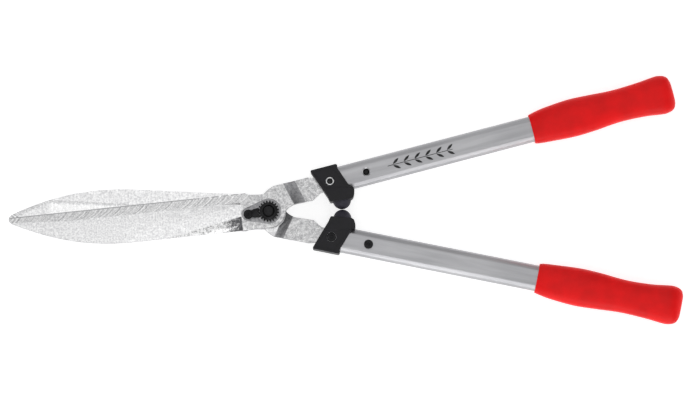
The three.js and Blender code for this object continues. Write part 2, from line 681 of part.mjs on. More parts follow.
// Collar: a moulded housing that caps the tube's end and holds the buffer
function collar() {
  const front = (t) => COLLAR_FRONT - SLANT * t;
  const rear = (t) => COLLAR_REAR - SLANT * t;
  const top = COLLAR_TOP;
  const low = -TUBE_WIDTH / 2 - LUG_WALL;
  const clamp = outline([
    [front(top - 2.4), top - 2.4],
    [front(low), low],
    [rear(low), low],
    [rear(top - COLLAR_WALL - COLLAR_BEAD), top - COLLAR_WALL - COLLAR_BEAD],
    [rear(top) + COLLAR_BEAD + 1, top - COLLAR_WALL],
    [rear(top) + COLLAR_BEAD, top],
    [front(top) + 1.7, top],
    [front(top) + 0.3, top - 0.6],
  ]);
  const lugTop = BUFFER_X * Math.tan(radians(HANDLE_ANGLE)) + LUG_WALL;
  const frontX = BUFFER_X - BUFFER_RADIUS - LUG_WALL;
  const rearX = BUFFER_X + BUFFER_RADIUS + LUG_WALL;
  const lug = outline([
    [frontX, LUG_BOTTOM],
    [rearX - 1.8, LUG_BOTTOM + 2.4],
    [rearX, LUG_BOTTOM + 4],
    [rearX + 1.1, LUG_BOTTOM + 8.2],
    [rearX + 1.1, LUG_BOTTOM + 12],
    [rearX - 4, lugTop + 2],
    [frontX - 6.4, lugTop + 2],
  ]);
  const face = COLLAR_FACE;
  const outer = solidOf(prism(clamp, -face, face).applyMatrix4(handleFrame)).add(
    solidOf(prism(lug, -face, face)),
  );
  const socket = lengthways(tubeShape(FIT), TUBE_START - FIT, TUBE_END, CORNER_STEPS);
  const half = TAIL_HALF + FIT;
  const high = TANG_HALF_THICKNESS + FIT;
  const tangSection = outline([
    [-half, -high],
    [half, -high],
    [half, high],
    [-half, high],
  ]);
  const slot = lengthways(tangSection, 0, TUBE_START);
  const head = round(BOLT_HEAD_RADIUS + FIT, -TALL, 0, FRONT_BOLT);
  const nut = round(SLEEVE_FLANGE + FIT, 0, TALL, FRONT_BOLT);
  const tools = [socket, slot, head, nut].map((tool) => tool.applyMatrix4(handleFrame));
  const depth = CLEAR + BUFFER_LENGTH + BUFFER_TRAVEL + FIT;
  const well = new THREE.CylinderGeometry(BUFFER_RADIUS + FIT, BUFFER_RADIUS + FIT, depth, 28);
  return cut(outer, ...tools, well.translate(BUFFER_X, depth / 2, 0));
}

// Buffer: a rubber plug with a domed nose, turned about Y, that meets its twin when the blades shut
function buffer() {
  const profile = new THREE.Path();
  const top = CLEAR + BUFFER_LENGTH;
  profile.moveTo(0, top);
  profile.lineTo(BUFFER_RADIUS - 0.8, top);
  profile.lineTo(BUFFER_RADIUS, top - 0.8);
  profile.lineTo(BUFFER_RADIUS, CLEAR + BUFFER_RADIUS);
  profile.absarc(0, CLEAR + BUFFER_RADIUS, BUFFER_RADIUS, 0, -Math.PI / 2, true);
  const points = profile.getPoints(6).reverse();
  points[0].x = 0;
  return new THREE.LatheGeometry(points, 28).translate(BUFFER_X, 0, 0);
}

// Grip: a soft sleeve lofted through its stations, closed at the end
function grip() {
  const around = 20;
  const rings = 18;
  const start = HANDLE_REACH - GRIP_LENGTH;
  const curve = (key) =>
    new THREE.SplineCurve(GRIP_STATIONS.map((station) => point(station.at, station[key])));
  const curves = { outer: curve("outer"), inner: curve("inner"), height: curve("height") };
  const power = 2 / GRIP_SECTION_POWER;
  const bulge = (value) => Math.sign(value) * Math.abs(value) ** power;
  const positions = [];
  for (let i = 0; i <= rings; i += 1) {
    const along = i / rings;
    const outer = curves.outer.getPoint(along);
    const inner = curves.inner.getPoint(along);
    const height = curves.height.getPoint(along);
    for (let k = 0; k < around; k += 1) {
      const angle = (k * 2 * Math.PI) / around;
      const side = bulge(Math.cos(angle));
      const wide = TUBE_WIDTH / 2 + (side > 0 ? outer.y : inner.y);
      const high = TUBE_HEIGHT / 2 + height.y;
      positions.push(start + outer.x * GRIP_LENGTH, side * wide, bulge(Math.sin(angle)) * high);
    }
  }
  const first = positions.length / 3;
  positions.push(start, 0, 0, HANDLE_REACH, 0, 0);
  const index = [];
  for (let k = 0; k < around; k += 1) {
    const next = (k + 1) % around;
    for (let i = 0; i < rings; i += 1) {
      const a = i * around;
      const b = a + around;
      index.push(a + k, a + next, b + k, a + next, b + next, b + k);
    }
    index.push(first, next, k, first + 1, rings * around + k, rings * around + next);
  }
  const skin = new THREE.BufferGeometry();
  skin.setAttribute("position", new THREE.Float32BufferAttribute(positions, 3));
  skin.setIndex(index);
  const bore = lengthways(tubeShape(FIT), start - 1, TUBE_END + FIT, CORNER_STEPS);
  return cut(solidOf(skin), bore);
}

// One half: its blade, and the handle's pieces
function half(side, blade) {
  const group = new THREE.Group();
  group.add(blade);
  group.add(meshOf(`${side}_collar`, collar(), BLACK_PLASTIC));
  group.add(meshOf(`${side}_buffer`, buffer(), RUBBER));
  const handle = new THREE.Group();
  handle.rotation.z = radians(HANDLE_ANGLE);
  handle.position.set(...onHalf(0, 0), 0);
  const frontEnd = TUBE_HEIGHT / 2;
  const rearEnd = TUBE_HEIGHT / 2 - TUBE_WALL - 2 * FIT;
  handle.add(meshOf(`${side}_tube`, tube(), ALUMINIUM));
  handle.add(meshOf(`${side}_packer`, packer(), BLACK_PLASTIC));
  handle.add(meshOf(`${side}_grip`, grip(), RED_GRIP));
  handle.add(meshOf(`${side}_front_screw`, handleScrew(FRONT_BOLT, frontEnd), BLACK_STEEL));
  handle.add(meshOf(`${side}_rear_screw`, handleScrew(REAR_BOLT, rearEnd), BLACK_STEEL));
  handle.add(meshOf(`${side}_front_nut`, frontNut(), ZINC));
  handle.add(meshOf(`${side}_rear_nut`, rearNut(), BLACK_STEEL));
  group.add(handle);
  return group;
}

const rightHalf = half("right", meshOf("top_blade", topBlade(), STEEL));
const leftHalf = half("left", meshOf("bottom_blade", bottomBlade(), STEEL));
leftHalf.rotation.x = Math.PI;

const pivot = new THREE.Group();
pivot.add(meshOf("pivot_bolt", pivotBolt(), BLACK_STEEL));
pivot.add(meshOf("pivot_washer", washer(), ZINC));
pivot.add(meshOf("adjusting_nut", adjustingNut(), BLACK_STEEL));
pivot.add(meshOf("nut_lock", lockPlate(), BLACK_STEEL));
pivot.add(meshOf("lock_screw", lockScrew(), BLACK_STEEL));

const group = new THREE.Group();
group.add(rightHalf, leftHalf, pivot);
group.children.forEach((child) => child.position.setZ(CONTACT_HEIGHT));

export default group;
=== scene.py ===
import json
from math import atan2, cos, pi, radians, sin, tan

import bmesh
import bpy
from mathutils import Matrix, Vector

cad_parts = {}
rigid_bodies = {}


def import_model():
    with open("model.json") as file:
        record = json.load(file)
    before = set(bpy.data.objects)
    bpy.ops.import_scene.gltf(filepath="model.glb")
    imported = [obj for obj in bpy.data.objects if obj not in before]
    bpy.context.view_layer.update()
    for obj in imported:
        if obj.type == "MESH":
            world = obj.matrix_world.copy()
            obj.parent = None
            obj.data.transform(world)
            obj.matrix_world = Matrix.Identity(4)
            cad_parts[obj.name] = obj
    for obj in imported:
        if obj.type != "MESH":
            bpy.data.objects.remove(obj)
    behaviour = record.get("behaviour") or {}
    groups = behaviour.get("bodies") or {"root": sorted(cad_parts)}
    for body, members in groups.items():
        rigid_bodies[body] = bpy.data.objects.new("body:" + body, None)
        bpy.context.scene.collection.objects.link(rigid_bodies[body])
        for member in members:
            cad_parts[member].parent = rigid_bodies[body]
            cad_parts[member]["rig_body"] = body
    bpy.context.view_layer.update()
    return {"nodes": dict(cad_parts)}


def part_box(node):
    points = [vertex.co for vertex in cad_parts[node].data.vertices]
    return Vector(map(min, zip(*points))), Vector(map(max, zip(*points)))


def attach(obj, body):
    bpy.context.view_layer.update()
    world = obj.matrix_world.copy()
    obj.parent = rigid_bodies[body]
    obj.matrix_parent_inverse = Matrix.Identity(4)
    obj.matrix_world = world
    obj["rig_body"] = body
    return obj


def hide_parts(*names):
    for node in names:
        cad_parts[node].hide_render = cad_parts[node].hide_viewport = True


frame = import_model()
scene = bpy.context.scene

# The two halves. The shears are one half made twice: the left one is the right one turned half a
# turn about the tool's centre line. Each handle tube leaves the pivot at the same angle, and the
# blades' contact plane runs through the middle of both tubes.
HANDLE_ANGLE = radians(13)
HANDLE_OFFSET = 0.01245
tube_low, tube_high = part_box("right_tube")
contact = (tube_low.z + tube_high.z) / 2
halves = {
    "right": Matrix.Translation((0, 0, contact)),
    "left": Matrix.Translation((0, 0, contact)) @ Matrix.Rotation(pi, 4, "X"),
}
along_handle = Matrix.Rotation(HANDLE_ANGLE, 4, "Z") @ Matrix.Translation((0, HANDLE_OFFSET, 0))


# Blades. Each is one steel forging: blade, hub and tang. The bevel keeps the curved marks of the
# grinding wheel, the back and the hollow are ground across their length, and the hub is blasted.
# Painted shade darkens the side walls, the tang ramps, the nut's pocket and the hub's front corner,
# where it fades out away from the hub; a thin band of painted shade runs along the cutting edge,
# and the hollow is painted lighter as a highlight, its inner tip darker.
MM = 1000
BLADE_SLOPE = radians(4.3)
HEEL = 0.0165
BEVEL_START = 0.0108
EDGE_SHADE_START = 0.008
FORGED_START = 0.017
FORGED_EDGE = 0.0005
CORNER_SHADE_START = -0.046
CORNER_SHADE_FULL = -0.0255
CORNER_START = -0.06
CORNER_END = -0.024
CORNER_SIDE = -0.006
RAMP_START = 0.01
POCKET_REACH = 0.023
POCKET_NEAR = 0.003
POCKET_FAR = 0.005
HOLLOW_DEPTH = 0.00025
HOLLOW_START = -0.05
HOLLOW_END = -0.215
BEVEL, BACK, HUB, SHADED, CORNER, HOLLOW = range(6)


def add(tree, kind, *values, **named):
    """A shader node. Small names are its settings, capital ones its sockets."""
    made = tree.nodes.new("ShaderNode" + kind)
    for name, value in named.items():
        if name[0].islower():
            setattr(made, name, value)
    sockets = list(zip(made.inputs, values))
    sockets += [(made.inputs[n.replace("_", " ")], v) for n, v in named.items() if n[0].isupper()]
    for socket, value in sockets:
        if isinstance(value, bpy.types.NodeSocket):
            tree.links.new(value, socket)
        else:
            socket.default_value = value
    return made.outputs[0]


def shades(tree, amount, dark, light, low=0.3, high=0.7):
    """A colour between two shades, from a pattern's value."""
    made = add(tree, "ValToRGB", amount).node
    made.color_ramp.elements[0].position = low
    made.color_ramp.elements[0].color = (*dark, 1)
    made.color_ramp.elements[1].position = high
    made.color_ramp.elements[1].color = (*light, 1)
    return made.outputs["Color"]


def between(tree, amount, low, high):
    """A number between two limits, from a pattern's value."""
    return add(tree, "MapRange", amount, 0.3, 0.7, low, high)


def finish(name, metallic, specular=0.5):
    """A new material, its node tree and its shader."""
    made = bpy.data.materials.new(name)
    made.use_nodes = True
    shader = made.node_tree.nodes["Principled BSDF"]
    shader.inputs["Metallic"].default_value = metallic
    shader.inputs["Specular IOR Level"].default_value = specular
    return made, made.node_tree, shader


def join(tree, shader, **sockets):
    """Links values to a shader's sockets by name."""
    for name, value in sockets.items():
        tree.links.new(value, shader.inputs[name.replace("_", " ")])


def blade_steel(name, side, dark, light, rough, lean, curl, pitch, relief, grainy):
    """Ground steel. Its marks curve across the blade, and a thin dark band of painted shade runs
    along its cutting edge.
    """
    made, tree, shader = finish(name, 1)
    place = add(tree, "TexCoord").node.outputs["Object"]
    turned_along = add(
        tree,
        "Mapping",
        place,
        Scale=(MM, MM * side, MM),
        Rotation=(0, 0, -BLADE_SLOPE),
    )
    axes = add(tree, "SeparateXYZ", turned_along).node.outputs
    across = add(tree, "Math", axes["Y"], MM * BEVEL_START, operation="SUBTRACT")
    straight = add(tree, "Math", across, lean, operation="MULTIPLY")
    squared = add(tree, "Math", across, across, operation="MULTIPLY")
    bend = add(tree, "Math", squared, curl, operation="MULTIPLY")
    offset = add(tree, "Math", straight, bend, operation="SUBTRACT")
    along = add(tree, "Math", axes["X"], offset, operation="SUBTRACT")
    wide = add(tree, "TexNoise", noise_dimensions="1D", W=along, Scale=1 / pitch, Detail=2)
    fine = add(tree, "TexNoise", noise_dimensions="1D", W=along, Scale=5 / pitch, Detail=4)
    cloud = add(tree, "TexNoise", place, Scale=700, Detail=4)
    marks = add(tree, "Math", wide, fine, operation="ADD")
    mottle = add(tree, "Math", cloud, grainy, operation="MULTIPLY")
    marks = add(tree, "Math", marks, mottle, operation="ADD")
    marks = add(tree, "Math", marks, 2 + grainy, operation="DIVIDE")
    # Painted shade: a thin dark band along the cutting edge.
    edge_shade = add(tree, "MapRange", across, MM * EDGE_SHADE_START, MM * EDGE_SHADE_START + 0.2, 0.0, -0.6)
    shade = add(tree, "Math", marks, edge_shade, operation="ADD")
    bump = add(tree, "Bump", Strength=relief, Distance=0.0001, Height=marks)
    join(
        tree,
        shader,
        Base_Color=shades(tree, shade, dark, light, 0.38, 0.62),
        Roughness=between(tree, marks, rough + 0.08, rough - 0.06),
        Normal=bump,
    )
    return made


def hub_steel(name, dark, light, shade_fade=False):
    """The same steel with a fine blasted grain; if asked, with painted shade that is darkest at the
    hub's front and fades out towards the tip.
    """
    made, tree, shader = finish(name, 1)
    place = add(tree, "TexCoord").node.outputs["Object"]
    grain = add(tree, "TexNoise", place, Scale=1000, Detail=3)
    cloud = add(tree, "TexNoise", place, Scale=380, Detail=4)
    mixed = add(tree, "Math", grain, cloud, operation="ADD")
    mixed = add(tree, "Math", mixed, 2, operation="DIVIDE")
    shade = mixed
    if shade_fade:
        # Painted shade, darkest at the hub's front and fading out about 20 mm towards the tip.
        along = add(tree, "SeparateXYZ", place).node.outputs["X"]
        hub_shade = add(tree, "MapRange", along, CORNER_SHADE_FULL, CORNER_SHADE_START, -0.2, 0.09)
        shade = add(tree, "Math", mixed, hub_shade, operation="ADD")
    bump = add(tree, "Bump", Strength=0.5, Distance=0.00012, Height=grain)
    join(
        tree,
        shader,
        Base_Color=shades(tree, shade, dark, light, 0.36, 0.64),
        Roughness=between(tree, mixed, 0.42, 0.3),
        Normal=bump,
    )
    return made


def from_frame(node):
    """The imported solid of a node, with its loose triangles merged into whole faces."""
    bm = bmesh.new()
    bm.from_mesh(frame["nodes"][node].data)
    bmesh.ops.remove_doubles(bm, verts=bm.verts, dist=1e-6)
    bmesh.ops.dissolve_limit(bm, angle_limit=radians(0.6), verts=bm.verts, edges=bm.edges)
    return bm


def fitted(name, bm, node, *finishes, edge=0.0002, steps=2, sharp=30):
    """A bmesh as the piece that stands for a CAD node. Sharp edges are eased unless edge is 0."""
    mesh = bpy.data.meshes.new(name)
    bm.to_mesh(mesh)
    bm.free()
    for made in finishes:
        mesh.materials.append(made)
    mesh.shade_smooth()
    piece = bpy.data.objects.new(name, mesh)
    scene.collection.objects.link(piece)
    if edge:
        eased = piece.modifiers.new("eased_edges", "BEVEL")
        eased.width = edge
        eased.segments = steps
        eased.limit_method = "ANGLE"
        eased.angle_limit = radians(sharp)
        eased.use_clamp_overlap = True
        eased.miter_outer = "MITER_ARC"
    even = piece.modifiers.new("even_shading", "WEIGHTED_NORMAL")
    even.keep_sharp = True
    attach(piece, frame["nodes"][node]["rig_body"])
    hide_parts(node)
    return piece


ground = {
    "bevel": dict(
        dark=(0.38, 0.38, 0.39),
        light=(0.94, 0.94, 0.94),
        rough=0.3,
        lean=2.0,
        curl=0.09,
        pitch=2.2,
        relief=0.7,
        grainy=1,
    ),
    "back": dict(
        dark=(0.64, 0.64, 0.65),
        light=(0.94, 0.94, 0.94),
        rough=0.32,
        lean=0.06,
        curl=0,
        pitch=0.9,
        relief=0.4,
        grainy=4,
    ),
    # Painted highlight: the hollow's steel is lighter than the back's.
    "hollow": dict(
        dark=(0.74, 0.74, 0.74),
        light=(0.95, 0.95, 0.95),
        rough=0.28,
        lean=0.06,
        curl=0,
        pitch=0.9,
        relief=0.2,
        grainy=2,
    ),
}
hub_finish = hub_steel("blasted_hub_steel", (0.34, 0.34, 0.35), (0.78, 0.78, 0.78))
# Painted shade: a dark hub steel for walls, ramps and pocket, and one darker towards the hub.
painted_shade_finish = hub_steel("painted_shade_steel", (0.2, 0.2, 0.21), (0.42, 0.42, 0.43))
corner_shade_finish = hub_steel("painted_corner_shade_steel", (0.1, 0.1, 0.105), (0.84, 0.84, 0.84), shade_fade=True)
for node, side in (("top_blade", 1), ("bottom_blade", -1)):
    blade = from_frame(node)
    blade.normal_update()
    forged_edges = [
        edge
        for edge in blade.edges
        if len(edge.link_faces) == 2
        and min(vert.co.x for vert in edge.verts) > FORGED_START
        and edge.calc_face_angle(0) > radians(60)
    ]
    bmesh.ops.bevel(
        blade,
        geom=forged_edges,
        offset=FORGED_EDGE,
        offset_type="OFFSET",
        segments=3,
        profile=0.5,
        affect="EDGES",
        material=-1,
        clamp_overlap=True,
    )
    to_edge = Vector((-sin(BLADE_SLOPE), side * cos(BLADE_SLOPE), 0))
    to_tip = Vector((-cos(BLADE_SLOPE), -side * sin(BLADE_SLOPE), 0))
    blade.normal_update()
    for face in blade.faces:
        middle = face.calc_center_median()
        depth = abs(middle.z - contact)
        inner = face.normal.z * side < -0.9
        outer = face.normal.z * side > 0.9
        # Painted shade on the side walls, the tang ramps, the nut's pocket and the hub's front
        # corner.
        if abs(face.normal.z) < 0.3:
            face.material_index = SHADED
        elif middle.x > RAMP_START and 0.2 < abs(face.normal.x) < 0.3:
            face.material_index = SHADED
        elif outer and POCKET_NEAR < depth < POCKET_FAR and middle.to_2d().length < POCKET_REACH:
            face.material_index = SHADED
        elif outer and CORNER_START < middle.x < CORNER_END and middle.y * side < CORNER_SIDE:
            face.material_index = CORNER
        # Painted light on the inner face: a lighter steel on the hollow, the darker bevel steel on
        # the tip.
        elif inner and middle.x < HOLLOW_END:
            face.material_index = BEVEL
        elif inner and depth > HOLLOW_DEPTH and middle.x < HOLLOW_START:
            face.material_index = HOLLOW
        elif middle.dot(to_tip) < HEEL:
            face.material_index = HUB
        elif abs(face.normal.dot(to_edge)) > 0.2 and abs(face.normal.z) > 0.9:
            face.material_index = BEVEL
        else:
            face.material_index = BACK
    bevel_finish, back_finish, hollow_highlight_finish = (
        blade_steel(f"{node}_{kind}_steel", side, **look) for kind, look in ground.items()
    )
    finishes = (bevel_finish, back_finish, hub_finish, painted_shade_finish, corner_shade_finish, hollow_highlight_finish)
    fitted(f"ground_{node}", blade, node, *finishes, edge=0)


# Pivot bolt. A hexagon head, a ground shank and a thread, turned from steel bar and blackened. The
# shank is left round here, without the CAD's two flats, so that out of sight it runs 0.7 mm into
# the upper blade; the thread is a stack of rings, not a helix.
BOLT_CORNER = 0.00981
BOLT_HEAD = 0.0054
BOLT_CHAMFER = 0.0006
SHANK_RADIUS = 0.006
THREAD_RADIUS = 0.005
THREAD_DEPTH = 0.0007
THREAD_PITCH = 0.00125
thread_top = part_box("pivot_bolt")[1].z


def black_steel(name, grain_size=700):
    """Blackened steel: near black, with a dull grain and brighter rubbed spots."""
    made, tree, shader = finish(name, 0.75)
    place = add(tree, "TexCoord").node.outputs["Object"]
    grain = add(tree, "TexNoise", place, Scale=grain_size, Detail=4)
    rubbed = add(tree, "TexNoise", place, Scale=160, Detail=5)
    bump = add(tree, "Bump", Strength=0.3, Distance=0.00008, Height=grain)
    join(
        tree,
        shader,
        Base_Color=shades(tree, rubbed, (0.006, 0.006, 0.0065), (0.026, 0.026, 0.028), 0.35, 0.75),
        Roughness=between(tree, grain, 0.36, 0.52),
        Normal=bump,
    )
    return made


def moved(bm, geom, vec):
    """Extrudes faces and moves the new ones. Gives the new vertices and faces."""
    edges = list(dict.fromkeys(edge for face in geom for edge in face.edges))
    new = bmesh.ops.extrude_face_region(bm, geom=geom + edges)["geom"]
    verts = [item for item in new if isinstance(item, bmesh.types.BMVert)]
    bmesh.ops.translate(bm, verts=verts, vec=vec)
    return verts, [item for item in new if isinstance(item, bmesh.types.BMFace)]


def turned(bm, profile, x=0.0, y=0.0, steps=32):
    """Spins a profile of (radius, height) about an upright axis."""
    verts = [bm.verts.new((x + radius, y, height)) for radius, height in profile]
    edges = [bm.edges.new(pair) for pair in zip(verts, verts[1:])]
    bmesh.ops.spin(
        bm,
        geom=verts + edges,
        cent=(x, y, 0),
        axis=(0, 0, 1),
        angle=2 * pi,
        steps=steps,
        use_merge=True,
    )
    bmesh.ops.remove_doubles(bm, verts=bm.verts, dist=1e-7)
    bmesh.ops.recalc_face_normals(bm, faces=bm.faces)


black_finish = black_steel("blackened_steel")
bolt = bmesh.new()
bmesh.ops.create_circle(bolt, cap_ends=True, segments=6, radius=BOLT_CORNER)
bmesh.ops.rotate(bolt, verts=bolt.verts, matrix=Matrix.Rotation(pi / 6, 3, "Z"))
bmesh.ops.translate(bolt, verts=bolt.verts, vec=(0, 0, BOLT_HEAD))
verts, end_face = moved(bolt, bolt.faces[:], (0, 0, BOLT_CHAMFER - BOLT_HEAD))
bmesh.ops.inset_region(bolt, faces=end_face, thickness=1.5 * BOLT_CHAMFER, depth=BOLT_CHAMFER)
bmesh.ops.recalc_face_normals(bolt, faces=bolt.faces)
shank_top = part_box("adjusting_nut")[0].z
shank_low = BOLT_HEAD - 0.0003
profile = [(0, shank_low), (SHANK_RADIUS, shank_low), (SHANK_RADIUS, shank_top - 0.0004)]
height = shank_top
while height < thread_top - THREAD_PITCH:
    profile += [(THREAD_RADIUS - THREAD_DEPTH, height), (THREAD_RADIUS, height + THREAD_PITCH / 2)]
    height += THREAD_PITCH
profile += [(THREAD_RADIUS - THREAD_DEPTH, thread_top), (0, thread_top)]
turned(bolt, profile)
fitted("turned_pivot_bolt", bolt, "pivot_bolt", black_finish)


# Pivot washer. A plain ring stamped from steel strip and zinc plated, between the bolt's head and
# the lower blade, so that the head doesn't mark the blade as it turns.
washer_low, washer_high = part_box("pivot_washer")
WASHER_HOLE = 0.0061


def zinc_plate(name):
    """Bright zinc plating with a faint cloudy passivation."""
    made, tree, shader = finish(name, 1)
    place = add(tree, "TexCoord").node.outputs["Object"]
    cloud = add(tree, "TexNoise", place, Scale=260, Detail=5)
    grain = add(tree, "TexNoise", place, Scale=2500, Detail=2)
    bump = add(tree, "Bump", Strength=0.2, Distance=0.00005, Height=grain)
    join(
        tree,
        shader,
        Base_Color=shades(tree, cloud, (0.6, 0.61, 0.63), (0.82, 0.82, 0.8)),
        Roughness=between(tree, cloud, 0.24, 0.4),
        Normal=bump,
    )
    return made


zinc_finish = zinc_plate("zinc_plate")
washer = bmesh.new()
ring = [
    (WASHER_HOLE, washer_low.z),
    (washer_high.x, washer_low.z),
    (washer_high.x, washer_high.z),
    (WASHER_HOLE, washer_high.z),
    (WASHER_HOLE, washer_low.z),
]
turned(washer, ring, steps=48)
fitted("stamped_pivot_washer", washer, "pivot_washer", zinc_finish, edge=0.00015)


# Adjusting nut. A round nut with twenty teeth milled round its rim, sunk in the upper blade's
# pocket; steel, blackened. Its bore stops 2.6 mm down here, where the real one goes through, so
# that out of sight the bolt runs into the nut.
NUT_TEETH = 20
NUT_TIP = 0.010
NUT_ROOT = 0.0083
NUT_MIDDLE = 0.0069
NUT_BORE = 0.0053
NUT_CHAMFER = 0.00025
NUT_RISE = 0.0007
NUT_DRILLED = 0.0022
nut_low, nut_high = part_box("adjusting_nut")


def round_off(verts, radius, x=0.0, y=0.0):
    """Puts vertices on a circle about an upright axis, at their own angles."""
    for vert in verts:
        arm = Vector((vert.co.x - x, vert.co.y - y)).normalized() * radius
        vert.co.x, vert.co.y = x + arm.x, y + arm.y


nut = bmesh.new()
bmesh.ops.create_circle(nut, cap_ends=True, segments=4 * NUT_TEETH, radius=NUT_ROOT)
nut.verts.ensure_lookup_table()
for i, vert in enumerate(nut.verts):
    share, radius = ((-0.3, NUT_ROOT), (-0.14, NUT_TIP), (0.14, NUT_TIP), (0.3, NUT_ROOT))[i % 4]
    angle = (i // 4 + 0.5 + share) * 2 * pi / NUT_TEETH
    vert.co = (radius * cos(angle), radius * sin(angle), nut_low.z)
bmesh.ops.recalc_face_normals(nut, faces=nut.faces)
verts, faces = moved(nut, nut.faces[:], (0, 0, nut_high.z - nut_low.z - NUT_RISE - NUT_CHAMFER))
bmesh.ops.inset_region(nut, faces=faces, thickness=NUT_CHAMFER, depth=0)
bmesh.ops.translate(nut, verts=faces[0].verts, vec=(0, 0, NUT_CHAMFER))
bmesh.ops.inset_region(nut, faces=faces, thickness=0.00002, depth=0)
round_off(faces[0].verts, NUT_MIDDLE + 0.0005)
verts, faces = moved(nut, faces, (0, 0, NUT_RISE))
round_off(verts, NUT_MIDDLE)
bmesh.ops.inset_region(nut, faces=faces, thickness=0.0002, depth=0)
round_off(faces[0].verts, NUT_BORE + 0.0004)
bmesh.ops.inset_region(nut, faces=faces, thickness=0.0001, depth=0)
round_off(faces[0].verts, NUT_BORE)
bmesh.ops.translate(nut, verts=faces[0].verts, vec=(0, 0, -0.0004))
moved(nut, faces, (0, 0, -NUT_DRILLED))
bmesh.ops.recalc_face_normals(nut, faces=nut.faces)
fitted("milled_adjusting_nut", nut, "adjusting_nut", black_finish, edge=0.00012)


# Nut lock and its screw. The lock is a small plate whose toothed end sits between the nut's
# teeth, pressed from steel; a socket screw through its round end holds it in the same pocket.
OVERCUT = 0.001
LOCK_ANGLE = radians(7)
LOCK_REACH = 0.0192
LOCK_SHANK = 0.002
LOCK_HEAD = 0.0034
LOCK_HEAD_HEIGHT = 0.0019
LOCK_SOCKET = 0.0014
LOCK_SOCKET_DEPTH = 0.0011
screw_low, screw_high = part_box("lock_screw")


def combined(bm, tool, operation="DIFFERENCE"):
    """One bmesh with another cut from it or joined to it."""
    shapes = []
    for part in (bm, tool):
        mesh = bpy.data.meshes.new("workpiece")
        part.to_mesh(mesh)
        part.free()
        shapes.append(bpy.data.objects.new("workpiece", mesh))
        scene.collection.objects.link(shapes[-1])
    cut = shapes[0].modifiers.new("cut", "BOOLEAN")
    cut.object = shapes[1]
    cut.operation = operation
    cut.solver = "EXACT"
    result = bmesh.new()
    result.from_object(shapes[0], bpy.context.evaluated_depsgraph_get())
    for shape in shapes:
        bpy.data.meshes.remove(shape.data)
    bmesh.ops.remove_doubles(result, verts=result.verts, dist=1e-7)
    return result


def hexagon(x, y, radius, low, high):
    """An upright hexagonal prism, the shape of a screw's socket."""
    bm = bmesh.new()
    bmesh.ops.create_circle(bm, cap_ends=True, segments=6, radius=radius)
    bmesh.ops.translate(bm, verts=bm.verts, vec=(x, y, low))
    moved(bm, bm.faces[:], (0, 0, high - low))
    bmesh.ops.recalc_face_normals(bm, faces=bm.faces)
    return bm


lock = from_frame("nut_lock")
fitted("pressed_nut_lock", lock, "nut_lock", black_finish, edge=0.00025, steps=3)
lock_screw = bmesh.new()
lock_x, lock_y = -LOCK_REACH * cos(LOCK_ANGLE), -LOCK_REACH * sin(LOCK_ANGLE)
profile = [
    (0, screw_low.z),
    (LOCK_SHANK, screw_low.z),
    (LOCK_SHANK, screw_high.z - LOCK_HEAD_HEIGHT),
    (LOCK_HEAD, screw_high.z - LOCK_HEAD_HEIGHT),
    (LOCK_HEAD, screw_high.z - 0.0005),
    (LOCK_HEAD - 0.0005, screw_high.z),
    (0, screw_high.z),
]
turned(lock_screw, profile, lock_x, lock_y, steps=24)
socket_floor = screw_high.z - LOCK_SOCKET_DEPTH
lock_socket = hexagon(lock_x, lock_y, LOCK_SOCKET, socket_floor, screw_high.z + OVERCUT)
lock_screw = combined(lock_screw, lock_socket)
fitted("turned_lock_screw", lock_screw, "lock_screw", black_finish, edge=0.0001)


# Handle tubes. Extruded aluminium with two flat faces, sloping shoulders and upright sides, sawn
# to length, drilled for the two screws and anodised satin silver, with faint lines from the die.
TUBE_WIDTH = 0.0243
TUBE_HEIGHT = 0.015
TUBE_WALL = 0.0016
TUBE_FLAT = 0.014
TUBE_SIDE = 0.0074
FLAT_CORNER = 0.0010
SIDE_CORNER = 0.0027
TUBE_START = 0.0583
TUBE_END = 0.3904
FRONT_SCREW = 0.0627
REAR_SCREW = 0.0980
SCREW_HOLE = 0.0028
SLEEVE_HOLE = 0.0035
SIGHT_HOLE = 0.0031
SIGHT_RIM = 0.0045
HOLE_START = 0.001
DRILL_REACH = 0.012


def anodised(name):
    """Satin anodised aluminium. Lines run along the tube, and clouds lie across it."""
    made, tree, shader = finish(name, 1)
    place = add(tree, "TexCoord").node.outputs["Object"]
    turn = -HANDLE_ANGLE if name.startswith("right") else HANDLE_ANGLE
    along = add(tree, "Mapping", place, Rotation=(0, 0, turn))
    drawn = add(tree, "Mapping", along, Scale=(6, 1100, 1100))
    lines = add(tree, "TexNoise", drawn, Scale=1, Detail=4)
    stretched = add(tree, "Mapping", along, Scale=(18, 160, 160))
    streak = add(tree, "TexNoise", stretched, Scale=1, Detail=5)
    grain = add(tree, "TexNoise", place, Scale=1800, Detail=2)
    relief = add(tree, "Math", lines, grain, operation="ADD")
    bump = add(tree, "Bump", Strength=0.18, Distance=0.00006, Height=relief)
    join(
        tree,
        shader,
        Base_Color=shades(tree, streak, (0.38, 0.38, 0.395), (0.5, 0.5, 0.515)),
        Roughness=between(tree, lines, 0.36, 0.46),
        Normal=bump,
    )
    return made


def rounded(bm, verts, reach, steps=4):
    """Rounds corners of a flat outline."""
    bmesh.ops.bevel(
        bm,
        geom=verts,
        offset=reach,
        offset_type="OFFSET",
        segments=steps,
        profile=0.5,
        affect="VERTICES",
        material=-1,
        clamp_overlap=False,
    )


